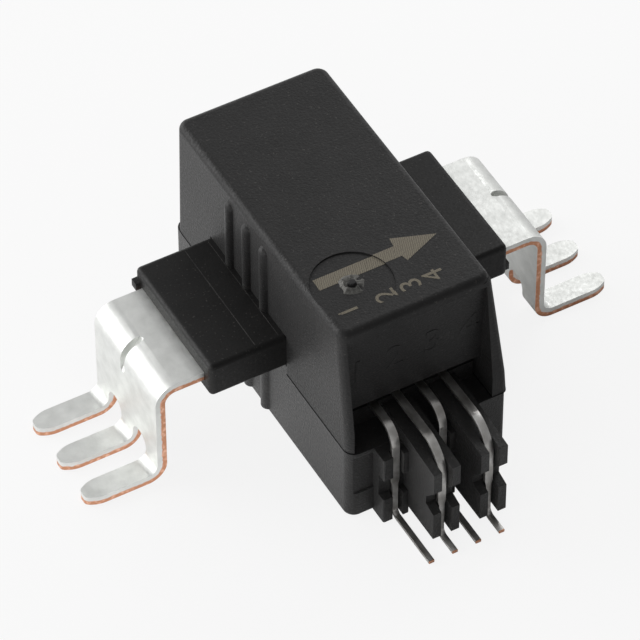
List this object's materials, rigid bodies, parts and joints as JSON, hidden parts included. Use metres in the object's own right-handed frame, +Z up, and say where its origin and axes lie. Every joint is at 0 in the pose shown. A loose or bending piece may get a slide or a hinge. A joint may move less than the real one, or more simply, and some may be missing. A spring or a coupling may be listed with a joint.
{
  "type": "hall effect current sensor",
  "caption": "Surface-mount current transducer: black box on a base with a pin comb, a flat busbar through it ending in fork feet on both sides, and bent signal leads.",
  "frame": {"origin": "middle of the footprint on the circuit board: half way between the ends of the busbar feet, half way between the back wall and the tips of the signal pins, at the solder plane", "axes": "+X along the busbar in the direction of the arrow, +Y away from the signal pins, +Z up from the board"},
  "size_m": [0.0444, 0.0332, 0.0188],
  "materials": {
    "cover": "fine matte moulded surface, dark warm grey",
    "base": "fine matte moulded surface, dark warm grey",
    "insulation": "matte black overmoulding",
    "busbar": "matte tin plating on copper, bare copper on the cut edges",
    "leads": "satin tin plating on copper alloy",
    "package": "moulded epoxy",
    "core": "stamped soft-magnetic sheet"
  },
  "bodies": {
    "root": {"cover": "cover", "base": "base", "primary_busbar": "busbar", "busbar_insulation": "insulation", "sensor_package": "package", "signal_pin_1": "leads", "signal_pin_2": "leads", "signal_pin_3": "leads", "signal_pin_4": "leads", "core_lamination_01": "core", "core_lamination_02": "core", "core_lamination_03": "core", "core_lamination_04": "core", "core_lamination_05": "core", "core_lamination_06": "core", "core_lamination_07": "core", "core_lamination_08": "core", "core_lamination_09": "core", "core_lamination_10": "core", "core_lamination_11": "core", "core_lamination_12": "core"}
  },
  "joints": []
}
